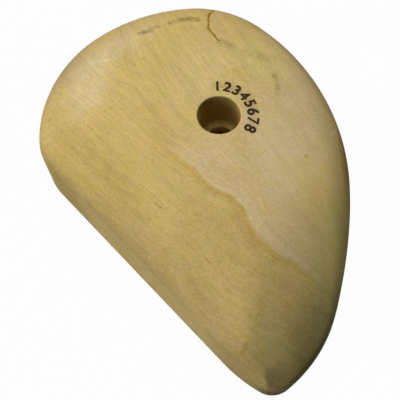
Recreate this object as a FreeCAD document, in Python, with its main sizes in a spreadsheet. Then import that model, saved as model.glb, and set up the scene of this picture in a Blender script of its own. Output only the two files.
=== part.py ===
import FreeCAD, Part

import math
import os

import Sketcher

# Bolt-on wooden climbing hold, lying on its flat back.
# The origin is on the bolt axis at the back face. +Z points away from the wall and
# +Y points up the wall. All sizes are millimetres and degrees.
SIZES = [
    # The domed face: its top point, and its two radii of curvature
    ("crown_height", 46.4),
    ("crown_x", -8.0),
    ("crown_y", -10.0),
    ("crown_heading", 95.0),
    ("crown_along_radius", 230.0),
    ("crown_across_radius", 165.0),
    ("crown_half_span", 130.0),
    ("crown_swing_angle", 120.0),
    ("planing_allowance", 6.0),
    # The lower right flank, rolled down towards the wall by an arc that is level with the
    # crown at its top: the way it faces in plan, its radius, the height of its foot, how
    # far past the outline the foot lies, and how far past its top the arc starts to cut
    ("flank_heading", -45.5),
    ("flank_radius", 85.0),
    ("flank_foot_height", 5.0),
    ("flank_overhang", 1.9),
    ("flank_start", 6.0),
    ("flank_blend_radius", 36.0),
    # The outline: the tip end of the straight edge, then arcs counter-clockwise
    ("straight_end_x", -10.7),
    ("straight_end_y", -92.4),
    ("straight_heading", -53.8),
    ("tip_shoulder_radius", 69.1),
    ("tip_radius", 9.9),
    ("lower_flank_radius", 62.9),
    ("right_side_radius", 202.1),
    ("upper_right_radius", 101.5),
    ("upper_left_radius", 82.4),
    ("left_side_radius", 53.6),
    ("lobe_radius", 25.5),
    ("tip_shoulder_angle", 16.1),
    ("tip_angle", 69.3),
    ("lower_flank_angle", 37.2),
    ("right_side_angle", 12.9),
    ("upper_right_angle", 50.1),
    ("top_angle", 42.1),
    ("upper_left_angle", 32.7),
    ("left_side_angle", 64.4),
    # The sanded round-over of the rim at each joint of the outline
    ("round_at_tip_shoulder", 10.0),
    ("round_at_tip", 8.0),
    ("round_after_tip", 8.5),
    ("round_at_flank", 16.0),
    ("round_at_right_side", 18.6),
    ("round_at_upper_right", 16.0),
    ("round_at_top", 11.0),
    ("round_at_upper_left", 10.0),
    ("round_at_left_side", 10.5),
    ("round_at_lobe", 11.0),
    ("back_edge_chamfer", 1.0),
    # The bolt hole and its counterbore, and the washer let into the ledge
    ("bolt_hole_diameter", 11.0),
    ("counterbore_diameter", 18.0),
    ("ledge_height", 25.6),
    ("mouth_edge_chamfer", 0.6),
    ("washer_diameter", 17.0),
    ("washer_side_clearance", 0.1),
    ("washer_thickness", 1.6),
    ("washer_edge_round", 0.3),
]

# The largest share of the wall, and of the tip's own radius, that a round-over may take
WALL_SHARE = 0.8
TIP_ROUND_SHARES = {"round_at_tip": 0.85, "round_after_tip": 0.9}
# How near two points of the outline are taken as one, as a share of the tip's radius
MATCH_SHARE = 0.002

# The outline's arcs in order, the arc whose radius closes the outline, and the one
# whose turn completes the round
ARCS = [
    "tip_shoulder", "tip", "lower_flank", "right_side", "upper_right", "top", "upper_left",
    "left_side", "lobe",
]
CLOSING_ARC = "top"
ROUNDS = [
    "round_at_tip_shoulder", "round_at_tip", "round_after_tip", "round_at_flank",
    "round_at_right_side", "round_at_upper_right", "round_at_top", "round_at_upper_left",
    "round_at_left_side", "round_at_lobe",
]

FULL_TURN = 360.0
CUBIC_CM = 1000.0
# The recess that the washer lies in, flush with the ledge
RECESS_DIAMETER = "sizes.washer_diameter + 2 * sizes.washer_side_clearance"
RECESS_FLOOR = "sizes.ledge_height - sizes.washer_thickness"
# The headings where the tip's arc and the lower flank's arc start, the middle of the
# lower flank's arc, and how far out the rolled flank's foot lies
TIP_START = "(sizes.straight_heading + sizes.tip_shoulder_angle)"
TIP_END = "(sizes.straight_heading + sizes.tip_shoulder_angle + sizes.tip_angle)"
FLANK_MIDDLE_X = (
    "(sizes.straight_end_x - sizes.tip_shoulder_radius * sin(sizes.straight_heading)"
    " + (sizes.tip_shoulder_radius - sizes.tip_radius) * sin" + TIP_START +
    " + (sizes.tip_radius - sizes.lower_flank_radius) * sin" + TIP_END + ")"
)
FLANK_MIDDLE_Y = (
    "(sizes.straight_end_y + sizes.tip_shoulder_radius * cos(sizes.straight_heading)"
    " - (sizes.tip_shoulder_radius - sizes.tip_radius) * cos" + TIP_START +
    " - (sizes.tip_radius - sizes.lower_flank_radius) * cos" + TIP_END + ")"
)
FLANK_REACH = (
    FLANK_MIDDLE_X + " * cos(sizes.flank_heading) + " + FLANK_MIDDLE_Y +
    " * sin(sizes.flank_heading) + sizes.lower_flank_radius + sizes.flank_overhang"
)


def make_sheet(doc):
    """Put every driving size into the document's spreadsheet."""
    sheet = doc.addObject("Spreadsheet::Sheet", "sizes")
    for row, (alias, value) in enumerate(SIZES, start=1):
        sheet.set("A%d" % row, alias)
        sheet.set("B%d" % row, str(value))
        sheet.setAlias("B%d" % row, alias)
    doc.recompute()
    return sheet


def origin_plane(body, role):
    """Return the body's own origin plane of that role, such as XY_Plane."""
    return next(plane for plane in body.Origin.OriginFeatures if plane.Role == role)


def add_sketch(body, name, role):
    """Add an empty sketch that lies on one of the body's origin planes."""
    sketch = body.newObject("Sketcher::SketchObject", name)
    sketch.AttachmentSupport = (origin_plane(body, role), "")
    sketch.MapMode = "FlatFace"
    return sketch


def bind(sketch, constraint, alias):
    """Add a constraint whose value is the expression given for it."""
    index = sketch.addConstraint(constraint)
    sketch.renameConstraint(index, "size_%d" % index)
    sketch.setExpression("Constraints.size_%d" % index, alias)


def outline_chain(sheet):
    """Work out the outline: corner points, radii and headings of its arcs.

    The path turns left all the way round. The closing arc's radius and the straight
    edge's length are what brings it back to where it started.
    """
    turns = [math.radians(sheet.get(name + "_angle")) for name in ARCS[:-1]]
    turns.append(math.radians(FULL_TURN) - sum(turns))
    start_heading = math.radians(sheet.get("straight_heading"))
    headings = [start_heading]
    for turn in turns:
        headings.append(headings[-1] + turn)
    steps = []
    for before, after in zip(headings, headings[1:]):
        steps.append((math.sin(after) - math.sin(before), math.cos(before) - math.cos(after)))
    closing = ARCS.index(CLOSING_ARC)
    radii = [0.0 if name == CLOSING_ARC else sheet.get(name + "_radius") for name in ARCS]
    gap_x = sum(radius * step[0] for radius, step in zip(radii, steps))
    gap_y = sum(radius * step[1] for radius, step in zip(radii, steps))
    edge_x, edge_y = math.cos(start_heading), math.sin(start_heading)
    spread = steps[closing][0] * edge_y - steps[closing][1] * edge_x
    radii[closing] = (edge_x * gap_y - edge_y * gap_x) / spread
    points = [(sheet.get("straight_end_x"), sheet.get("straight_end_y"))]
    for radius, step in zip(radii, steps):
        points.append((points[-1][0] + radius * step[0], points[-1][1] + radius * step[1]))
    return points, radii, headings


def draw_outline(body, sheet):
    """Sketch the outline on the back plane: nine tangent arcs and the straight edge."""
    sketch = add_sketch(body, "outline", "XY_Plane")
    points, radii, headings = outline_chain(sheet)
    quarter = math.radians(FULL_TURN / 4)
    for index, radius in enumerate(radii):
        x, y = points[index]
        heading = headings[index]
        centre = FreeCAD.Vector(x - radius * math.sin(heading), y + radius * math.cos(heading), 0)
        circle = Part.Circle(centre, FreeCAD.Vector(0, 0, 1), radius)
        sketch.addGeometry(Part.ArcOfCircle(circle, heading - quarter, headings[index + 1] - quarter))
    start = FreeCAD.Vector(points[-1][0], points[-1][1], 0)
    end = FreeCAD.Vector(points[0][0], points[0][1], 0)
    edge = sketch.addGeometry(Part.LineSegment(start, end))
    for index in range(len(ARCS)):
        sketch.addConstraint(Sketcher.Constraint("Tangent", index, 2, index + 1, 1))
    sketch.addConstraint(Sketcher.Constraint("Tangent", edge, 2, 0, 1))
    for index, name in enumerate(ARCS):
        if name != CLOSING_ARC:
            bind(sketch, Sketcher.Constraint("Radius", index, radii[index]), "sizes.%s_radius" % name)
        if name != ARCS[-1]:
            turn = headings[index + 1] - headings[index]
            bind(sketch, Sketcher.Constraint("Angle", index, turn), "sizes.%s_angle" % name)
    bind(sketch, Sketcher.Constraint("Angle", edge, headings[0]), "sizes.straight_heading")
    bind(sketch, Sketcher.Constraint("DistanceX", -1, 1, edge, 2, end.x), "sizes.straight_end_x")
    bind(sketch, Sketcher.Constraint("DistanceY", -1, 1, edge, 2, end.y), "sizes.straight_end_y")
    return sketch


def pad_outline(body, sheet):
    """Raise the blank block from its outline, a little thicker than the finished hold."""
    blank = body.newObject("PartDesign::Pad", "blank")
    blank.Profile = draw_outline(body, sheet)
    blank.setExpression("Length", "sizes.crown_height + sizes.planing_allowance")
    return blank


def cut_crown(body, sheet):
    """Plane the domed face: everything outside an arc that swings about a level axis goes.

    The arc lies along the hold with one radius, and its axis runs below it at the other,
    so the face curves both ways from its top point.
    """
    sketch = add_sketch(body, "crown_section", "XZ_Plane")
    sketch.AttachmentOffset = FreeCAD.Placement(
        FreeCAD.Vector(sheet.get("crown_x"), 0, -sheet.get("crown_y")),
        FreeCAD.Rotation(FreeCAD.Vector(0, 1, 0), sheet.get("crown_heading")),
    )
    sketch.setExpression("AttachmentOffset.Base.x", "sizes.crown_x")
    sketch.setExpression("AttachmentOffset.Base.z", "-sizes.crown_y")
    sketch.setExpression("AttachmentOffset.Rotation.Angle", "sizes.crown_heading")
    height = sheet.get("crown_height")
    radius = sheet.get("crown_along_radius")
    span = sheet.get("crown_half_span")
    roof = height + span
    reach = math.asin(span / radius)
    upright = math.radians(FULL_TURN / 4)
    side = height - radius + radius * math.cos(reach)
    circle = Part.Circle(FreeCAD.Vector(0, height - radius, 0), FreeCAD.Vector(0, 0, 1), radius)
    arc = sketch.addGeometry(Part.ArcOfCircle(circle, upright - reach, upright + reach))
    left = sketch.addGeometry(
        Part.LineSegment(FreeCAD.Vector(-span, side, 0), FreeCAD.Vector(-span, roof, 0)))
    top = sketch.addGeometry(
        Part.LineSegment(FreeCAD.Vector(-span, roof, 0), FreeCAD.Vector(span, roof, 0)))
    right = sketch.addGeometry(
        Part.LineSegment(FreeCAD.Vector(span, roof, 0), FreeCAD.Vector(span, side, 0)))
    sketch.addConstraint(Sketcher.Constraint("Coincident", arc, 2, left, 1))
    sketch.addConstraint(Sketcher.Constraint("Coincident", left, 2, top, 1))
    sketch.addConstraint(Sketcher.Constraint("Coincident", top, 2, right, 1))
    sketch.addConstraint(Sketcher.Constraint("Coincident", right, 2, arc, 1))
    sketch.addConstraint(Sketcher.Constraint("Vertical", left))
    sketch.addConstraint(Sketcher.Constraint("Vertical", right))
    sketch.addConstraint(Sketcher.Constraint("Horizontal", top))
    sketch.addConstraint(Sketcher.Constraint("PointOnObject", arc, 3, -2))
    bind(sketch, Sketcher.Constraint("Radius", arc, radius), "sizes.crown_along_radius")
    bind(sketch, Sketcher.Constraint("DistanceY", -1, 1, arc, 3, height - radius),
         "sizes.crown_height - sizes.crown_along_radius")
    bind(sketch, Sketcher.Constraint("DistanceX", -1, 1, top, 2, span), "sizes.crown_half_span")
    bind(sketch, Sketcher.Constraint("DistanceX", top, 1, -1, 1, span), "sizes.crown_half_span")
    bind(sketch, Sketcher.Constraint("DistanceY", -1, 1, top, 2, roof),
         "sizes.crown_height + sizes.crown_half_span")
    depth = height - sheet.get("crown_across_radius")
    axis = sketch.addGeometry(
        Part.LineSegment(FreeCAD.Vector(-span, depth, 0), FreeCAD.Vector(span, depth, 0)), True)
    sketch.addConstraint(Sketcher.Constraint("Horizontal", axis))
    bind(sketch, Sketcher.Constraint("DistanceY", -1, 1, axis, 1, depth),
         "sizes.crown_height - sizes.crown_across_radius")
    bind(sketch, Sketcher.Constraint("DistanceX", -1, 1, axis, 2, span), "sizes.crown_half_span")
    bind(sketch, Sketcher.Constraint("DistanceX", axis, 1, -1, 1, span), "sizes.crown_half_span")
    crown = body.newObject("PartDesign::Groove", "crown")
    crown.Profile = sketch
    crown.ReferenceAxis = (sketch, ["Axis0"])
    crown.Midplane = True
    crown.setExpression("Angle", "sizes.crown_swing_angle")
    return crown


def roll_flank(body, sheet):
    """Roll the lower right flank down: what stands past a level arc goes.

    The section runs square to the flank. Its arc is level with the crown at the top and
    comes down to the foot, a little past the outline of the lower flank. Past the foot
    nothing below it is taken.
    """
    sketch = add_sketch(body, "flank_section", "XZ_Plane")
    sketch.AttachmentOffset = FreeCAD.Placement(
        FreeCAD.Vector(0, 0, 0),
        FreeCAD.Rotation(FreeCAD.Vector(0, 1, 0), sheet.get("flank_heading")),
    )
    sketch.setExpression("AttachmentOffset.Rotation.Angle", "sizes.flank_heading")
    height = sheet.get("crown_height")
    radius = sheet.get("flank_radius")
    foot = sheet.get("flank_foot_height")
    heading = math.radians(sheet.get("flank_heading"))
    points, radii, headings = outline_chain(sheet)
    lower = ARCS.index("lower_flank")
    middle_x = points[lower][0] - radii[lower] * math.sin(headings[lower])
    middle_y = points[lower][1] + radii[lower] * math.cos(headings[lower])
    reach = (middle_x * math.cos(heading) + middle_y * math.sin(heading)
             + radii[lower] + sheet.get("flank_overhang"))
    span = sheet.get("crown_half_span")
    roof = height + span
    axis = reach - math.sqrt(radius ** 2 - (radius - height + foot) ** 2)
    start = axis + sheet.get("flank_start")
    level = height - radius
    upper = level + math.sqrt(radius ** 2 - (start - axis) ** 2)
    circle = Part.Circle(FreeCAD.Vector(axis, level, 0), FreeCAD.Vector(0, 0, 1), radius)
    low = math.atan2(foot - level, reach - axis)
    high = math.atan2(upper - level, start - axis)
    arc = sketch.addGeometry(Part.ArcOfCircle(circle, low, high))
    corners = [(start, upper), (start, roof), (span, roof), (span, foot), (reach, foot)]
    places = [FreeCAD.Vector(x, y, 0) for x, y in corners]
    inner, top, outer, shelf = [
        sketch.addGeometry(Part.LineSegment(here, there)) for here, there in zip(places, places[1:])]
    for one, end, other in ((arc, 2, inner), (inner, 2, top), (top, 2, outer), (outer, 2, shelf)):
        sketch.addConstraint(Sketcher.Constraint("Coincident", one, end, other, 1))
    sketch.addConstraint(Sketcher.Constraint("Coincident", shelf, 2, arc, 1))
    sketch.addConstraint(Sketcher.Constraint("Vertical", inner))
    sketch.addConstraint(Sketcher.Constraint("Vertical", outer))
    sketch.addConstraint(Sketcher.Constraint("Horizontal", top))
    sketch.addConstraint(Sketcher.Constraint("Horizontal", shelf))
    bind(sketch, Sketcher.Constraint("Radius", arc, radius), "sizes.flank_radius")
    bind(sketch, Sketcher.Constraint("DistanceY", -1, 1, arc, 3, level),
         "sizes.crown_height - sizes.flank_radius")
    bind(sketch, Sketcher.Constraint("DistanceX", -1, 1, shelf, 2, reach), FLANK_REACH)
    bind(sketch, Sketcher.Constraint("DistanceY", -1, 1, shelf, 2, foot), "sizes.flank_foot_height")
    bind(sketch, Sketcher.Constraint("DistanceX", arc, 3, inner, 1, start - axis), "sizes.flank_start")
    bind(sketch, Sketcher.Constraint("DistanceX", -1, 1, outer, 1, span), "sizes.crown_half_span")
    bind(sketch, Sketcher.Constraint("DistanceY", -1, 1, outer, 1, roof),
         "sizes.crown_height + sizes.crown_half_span")
    flank = body.newObject("PartDesign::Pocket", "rolled_flank")
    flank.Profile = sketch
    flank.Type = "ThroughAll"
    flank.Midplane = True
    return flank


def blend_flank(body, sheet):
    """Soften the crease where the rolled flank leaves the crown."""
    last = body.Tip
    pieces = outline_pieces(sheet)
    names = []
    for number, edge in enumerate(last.Shape.Edges, start=1):
        middle = edge.valueAt((edge.FirstParameter + edge.LastParameter) / 2)
        if rim_station(sheet, pieces, middle) is None:
            names.append("Edge%d" % number)
    soft = body.newObject("PartDesign::Fillet", "flank_blend")
    soft.Base = (last, names)
    soft.setExpression("Radius", "sizes.flank_blend_radius")
    return soft


def draw_circle(body, sheet, name, diameter, height):
    """Sketch a circle round the bolt axis, at that height over the back plane."""
    sketch = add_sketch(body, name, "XY_Plane")
    sketch.setExpression("AttachmentOffset.Base.z", height)
    middle, upwards = FreeCAD.Vector(0, 0, 0), FreeCAD.Vector(0, 0, 1)
    sketch.addGeometry(Part.Circle(middle, upwards, sheet.get("counterbore_diameter") / 2))
    sketch.addConstraint(Sketcher.Constraint("Coincident", 0, 3, -1, 1))
    bind(sketch, Sketcher.Constraint("Diameter", 0, sheet.get("counterbore_diameter")), diameter)
    return sketch


def bore_up(body, sheet, name, diameter, height):
    """Bore a round hole from that height out through the face."""
    bore = body.newObject("PartDesign::Pocket", name)
    bore.Profile = draw_circle(body, sheet, name + "_circle", diameter, height)
    bore.Type = "ThroughAll"
    bore.Reversed = True
    return bore


def sink_washer_recess(body, sheet):
    """Sink the shallow recess in the ledge that the washer lies in."""
    recess = body.newObject("PartDesign::Pocket", "washer_recess")
    recess.Profile = draw_circle(body, sheet, "recess_circle", RECESS_DIAMETER, "sizes.ledge_height")
    recess.setExpression("Length", "sizes.washer_thickness")
    return recess


def is_mouth_edge(edge, sheet):
    """Tell whether an edge is where the counterbore breaks through the face."""
    reach = sheet.get("counterbore_diameter") / 2
    start = edge.Vertexes[0]
    round_bore = abs(math.hypot(start.X, start.Y) - reach) < MATCH_SHARE * reach
    return round_bore and edge.BoundBox.ZMin > sheet.get("ledge_height") + sheet.get("mouth_edge_chamfer")


def is_back_edge(edge, sheet):
    """Tell whether an edge is where the wall meets the back face."""
    box = edge.BoundBox
    outside = max(abs(box.XMin), abs(box.XMax), abs(box.YMin), abs(box.YMax))
    return box.ZMax < sheet.get("back_edge_chamfer") and outside > sheet.get("counterbore_diameter")


def bevel(body, sheet, name, is_wanted):
    """Break the wanted edges of the body's last feature with a small flat bevel."""
    last = body.Tip
    names = []
    for number, edge in enumerate(last.Shape.Edges, start=1):
        if is_wanted(edge, sheet):
            names.append("Edge%d" % number)
    chamfer = body.newObject("PartDesign::Chamfer", name)
    chamfer.Base = (last, names)
    chamfer.setExpression("Size", "sizes." + name)
    return chamfer


def make_block(doc, sheet):
    """The block with its domed face and bored bolt hole, its rim still sharp."""
    body = doc.addObject("PartDesign::Body", "sharp_block")
    volumes = []
    for step in (
        lambda: pad_outline(body, sheet),
        lambda: cut_crown(body, sheet),
        lambda: roll_flank(body, sheet),
        lambda: blend_flank(body, sheet),
        lambda: bore_up(body, sheet, "bolt_hole", "sizes.bolt_hole_diameter", "0"),
        lambda: bore_up(body, sheet, "counterbore", "sizes.counterbore_diameter", "sizes.ledge_height"),
        lambda: sink_washer_recess(body, sheet),
        lambda: bevel(body, sheet, "mouth_edge_chamfer", is_mouth_edge),
        lambda: bevel(body, sheet, "back_edge_chamfer", is_back_edge),
    ):
        feature = step()
        doc.recompute()
        volumes.append(feature.Shape.Volume)
    if volumes != sorted(volumes, reverse=True) or len(set(volumes)) < len(volumes):
        raise RuntimeError("a cut of the block took nothing away: %s" % volumes)
    return body


def outline_pieces(sheet):
    """List the outline's pieces, arcs first, as functions from a point to (miss, share).

    miss is how far the point lies off the piece, and share how far along it lies.
    """
    points, radii, headings = outline_chain(sheet)

    def along_arc(index):
        x, y = points[index]
        heading, turn = headings[index], headings[index + 1] - headings[index]
        centre_x = x - radii[index] * math.sin(heading)
        centre_y = y + radii[index] * math.cos(heading)

        def measure(px, py):
            angle = math.atan2(py - centre_y, px - centre_x) + math.radians(FULL_TURN / 4)
            middle = heading + turn / 2
            offset = math.remainder(angle - middle, math.radians(FULL_TURN))
            miss = abs(math.hypot(px - centre_x, py - centre_y) - radii[index])
            return miss, offset / turn + 1 / 2
        return measure

    def along_edge(px, py):
        (x, y), (end_x, end_y) = points[-1], points[0]
        length = math.hypot(end_x - x, end_y - y)
        step_x, step_y = (end_x - x) / length, (end_y - y) / length
        share = ((px - x) * step_x + (py - y) * step_y) / length
        return abs((px - x) * step_y - (py - y) * step_x), share

    return [along_arc(index) for index in range(len(radii))] + [along_edge]


def rim_station(sheet, pieces, point):
    """Return how far round the outline a point lies, in pieces and shares, or None off it."""
    tolerance = MATCH_SHARE * sheet.get("tip_radius")
    for index, piece in enumerate(pieces):
        miss, share = piece(point.x, point.y)
        if miss < tolerance and -MATCH_SHARE < share < 1 + MATCH_SHARE:
            return index + share
    return None


def rim_radius(sheet, station, wall):
    """Return the round-over's radius at that station, over a wall of that height.

    The radius runs evenly from one joint of the outline to the next. It is never more
    than a share of the wall below it, or at the tip more than a share of the tip's own.
    """
    radii = [sheet.get(name) for name in ROUNDS]
    for name, share in TIP_ROUND_SHARES.items():
        joint = ROUNDS.index(name)
        radii[joint] = min(radii[joint], share * sheet.get("tip_radius"))
    station %= len(radii)
    before, share = int(station), station - int(station)
    after = (before + 1) % len(radii)
    return min(radii[before] + share * (radii[after] - radii[before]), WALL_SHARE * wall)


def rim_rounds(shape, sheet):
    """List the edges where the wall meets the face, with a radius for each end.

    The two radii of every edge follow the way that the first edge's own curve runs.
    """
    pieces = outline_pieces(sheet)
    rim = []
    for number, edge in enumerate(shape.Edges, start=1):
        first, last = edge.FirstParameter, edge.LastParameter
        places = [edge.valueAt(u) for u in (first, (first + last) / 2, last)]
        stations = [rim_station(sheet, pieces, place) for place in places]
        upright = edge.BoundBox.ZLength > edge.Length / 2
        if None in stations or upright or edge.BoundBox.ZMin < 2 * sheet.get("back_edge_chamfer"):
            continue
        middle = stations[1]
        ends = []
        for place, station in zip(places[::2], stations[::2]):
            step = math.remainder(station - middle, len(pieces))
            ends.append((step, rim_radius(sheet, middle + step, place.z)))
        rim.append((number, ends))
    if len(rim) < len(pieces):
        raise RuntimeError("the rim has %d edges, under %d" % (len(rim), len(pieces)))
    forwards = rim[0][1][0][0] < 0
    edges = []
    for number, ends in rim:
        start, end = sorted(ends, reverse=not forwards)
        edges.append((number, start[1], end[1]))
    return edges


def make_wood_body(doc, sheet):
    """The finished hold: the block with its rim rounded over."""
    block = make_block(doc, sheet)
    wood = doc.addObject("Part::Fillet", "wood_body")
    wood.Label = "wood_body"
    wood.Base = block
    wood.Edges = rim_rounds(block.Shape, sheet)
    wood.Placement = FreeCAD.Placement()
    doc.recompute()
    if wood.Shape.Volume >= block.Shape.Volume:
        raise RuntimeError("the round-over took nothing away")
    return wood


def make_seat_washer(doc, sheet):
    """The plain washer in the ledge's recess, its upper rim rounded by stamping."""
    body = doc.addObject("PartDesign::Body", "seat_washer")
    body.Label = "seat_washer"
    sketch = draw_circle(body, sheet, "washer_rim", "sizes.washer_diameter", "0")
    reach = sheet.get("bolt_hole_diameter") / 2
    hole = Part.Circle(FreeCAD.Vector(0, 0, 0), FreeCAD.Vector(0, 0, 1), reach)
    index = sketch.addGeometry(hole)
    sketch.addConstraint(Sketcher.Constraint("Coincident", index, 3, -1, 1))
    bind(sketch, Sketcher.Constraint("Diameter", index, 2 * reach), "sizes.bolt_hole_diameter")
    plate = body.newObject("PartDesign::Pad", "washer_plate")
    plate.Profile = sketch
    plate.setExpression("Length", "sizes.washer_thickness")
    doc.recompute()
    names = []
    for number, edge in enumerate(plate.Shape.Edges, start=1):
        upper = edge.BoundBox.ZMin > sheet.get("washer_thickness") / 2
        if upper and edge.Curve.Radius > reach + sheet.get("washer_edge_round"):
            names.append("Edge%d" % number)
    rim = body.newObject("PartDesign::Fillet", "washer_rim_round")
    rim.Base = (plate, names)
    rim.setExpression("Radius", "sizes.washer_edge_round")
    body.setExpression("Placement.Base.z", RECESS_FLOOR)
    doc.recompute()
    return body


def check_model(doc, parts):
    """Stop if any object failed, or any sub-part isn't one valid solid."""
    for item in doc.Objects:
        if "Invalid" in item.State or "Error" in item.State:
            raise RuntimeError("%s failed: %s" % (item.Label, item.State))
    for part in parts:
        shape = part.Shape
        if shape.isNull() or not shape.isValid() or len(shape.Solids) != 1:
            raise RuntimeError("%s isn't one valid solid" % part.Label)


def main():
    """Build the hold and write one STEP file for each sub-part."""
    doc = FreeCAD.newDocument("climbing_hold")
    sheet = make_sheet(doc)
    parts = [make_wood_body(doc, sheet), make_seat_washer(doc, sheet)]
    doc.recompute()
    check_model(doc, parts)
    os.makedirs("parts", exist_ok=True)
    for part in parts:
        part.Shape.exportStep(os.path.join("parts", part.Label + ".step"))
        box = part.Shape.BoundBox
        print("%s: %.1f x %.1f x %.1f mm, %.1f cm3"
              % (part.Label, box.XLength, box.YLength, box.ZLength, part.Shape.Volume / CUBIC_CM))


main()
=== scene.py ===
import logging
import math
from dataclasses import dataclass, field
from enum import Enum
from functools import cached_property, reduce
from typing import Sequence, Union

import bmesh
import bpy
import numpy as np
from mathutils import Matrix, Vector


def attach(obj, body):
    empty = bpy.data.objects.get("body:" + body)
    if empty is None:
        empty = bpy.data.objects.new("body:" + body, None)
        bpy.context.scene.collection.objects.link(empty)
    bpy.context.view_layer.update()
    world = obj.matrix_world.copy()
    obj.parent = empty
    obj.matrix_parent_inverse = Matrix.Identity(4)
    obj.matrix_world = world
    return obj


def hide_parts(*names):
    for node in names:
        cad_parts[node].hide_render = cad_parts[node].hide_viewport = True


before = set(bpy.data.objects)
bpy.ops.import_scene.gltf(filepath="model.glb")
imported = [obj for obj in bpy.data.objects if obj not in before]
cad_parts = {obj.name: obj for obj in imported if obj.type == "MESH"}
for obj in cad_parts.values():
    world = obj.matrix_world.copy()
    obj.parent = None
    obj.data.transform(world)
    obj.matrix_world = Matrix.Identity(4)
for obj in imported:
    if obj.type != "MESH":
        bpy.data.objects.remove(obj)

# Bolt-on wooden climbing hold, lying on its flat back.
# Lengths in this file are millimetres until a mesh, a lamp or the camera is made.
MM = 0.001
FULL_TURN = 2.0 * math.pi
QUARTER_TURN = 0.5 * math.pi

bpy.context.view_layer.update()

log = logging.getLogger("climbing_hold")

Colour = tuple[float, float, float, float]
Tint = tuple[int, int, int]
Pair = tuple[float, float]
Place = tuple[float, float, float]
Socket = bpy.types.NodeSocket
Value = Union[float, Sequence[float], Socket]
Amount = Union[float, np.ndarray]
Arrays = tuple[np.ndarray, np.ndarray, np.ndarray]


def tone(red: int, green: int, blue: int) -> Colour:
    """Turn a display colour into the linear colour that a shader takes.

    Args:
        red: Red from 0 to 255.
        green: Green from 0 to 255.
        blue: Blue from 0 to 255.

    Returns:
        The linear red, green and blue, and a full alpha.
    """
    shares = np.array([red, green, blue]) / 255.0
    linear = np.where(shares <= 0.04045, shares / 12.92, ((shares + 0.055) / 1.055) ** 2.4)
    return (float(linear[0]), float(linear[1]), float(linear[2]), 1.0)


# Meshes from grids of points


def even_shares(count: int) -> np.ndarray:
    """Shares up to 1 in even steps, without the 0."""
    return np.linspace(0.0, 1.0, count + 1)[1:]


def make_object(name: str, mesh: bpy.types.Mesh) -> bpy.types.Object:
    """Put a mesh into the scene as an object at the origin."""
    piece = bpy.data.objects.new(name, mesh)
    bpy.context.scene.collection.objects.link(piece)
    return piece


def mesh_from_rows(name: str, rows: np.ndarray) -> bpy.types.Object:
    """Skin a grid of points whose rows and columns both join round, as on a ring.

    Every quad takes a point, the next in its row, and the two beside them in the
    next row, so the skin has no edge and no pole.

    Args:
        name: Name of the piece.
        rows: Points in millimetres, as an array of rows by columns by 3.

    Returns:
        The smooth-shaded object.
    """
    count, width = rows.shape[:2]
    index = np.arange(count * width).reshape(count, width)
    beside = np.roll(index, -1, axis=1)
    above = np.roll(index, -1, axis=0)
    across = np.roll(above, -1, axis=1)
    quads = np.stack([index, beside, across, above], axis=-1).reshape(-1, 4)
    mesh = bpy.data.meshes.new(name)
    mesh.from_pydata((rows * MM).reshape(-1, 3), [], quads, shade_flat=False)
    mesh.validate()
    return make_object(name, mesh)


# The outline of the hold


@dataclass(frozen=True)
class Arc:
    """One arc of the outline: radius, turn in degrees, and the round-over at its start."""

    radius: float
    turn: float
    round_over: float


@dataclass(frozen=True)
class Station:
    """Places along the outline, one for each column of the body's grid."""

    foot: np.ndarray
    inward: np.ndarray
    round_over: np.ndarray


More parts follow.
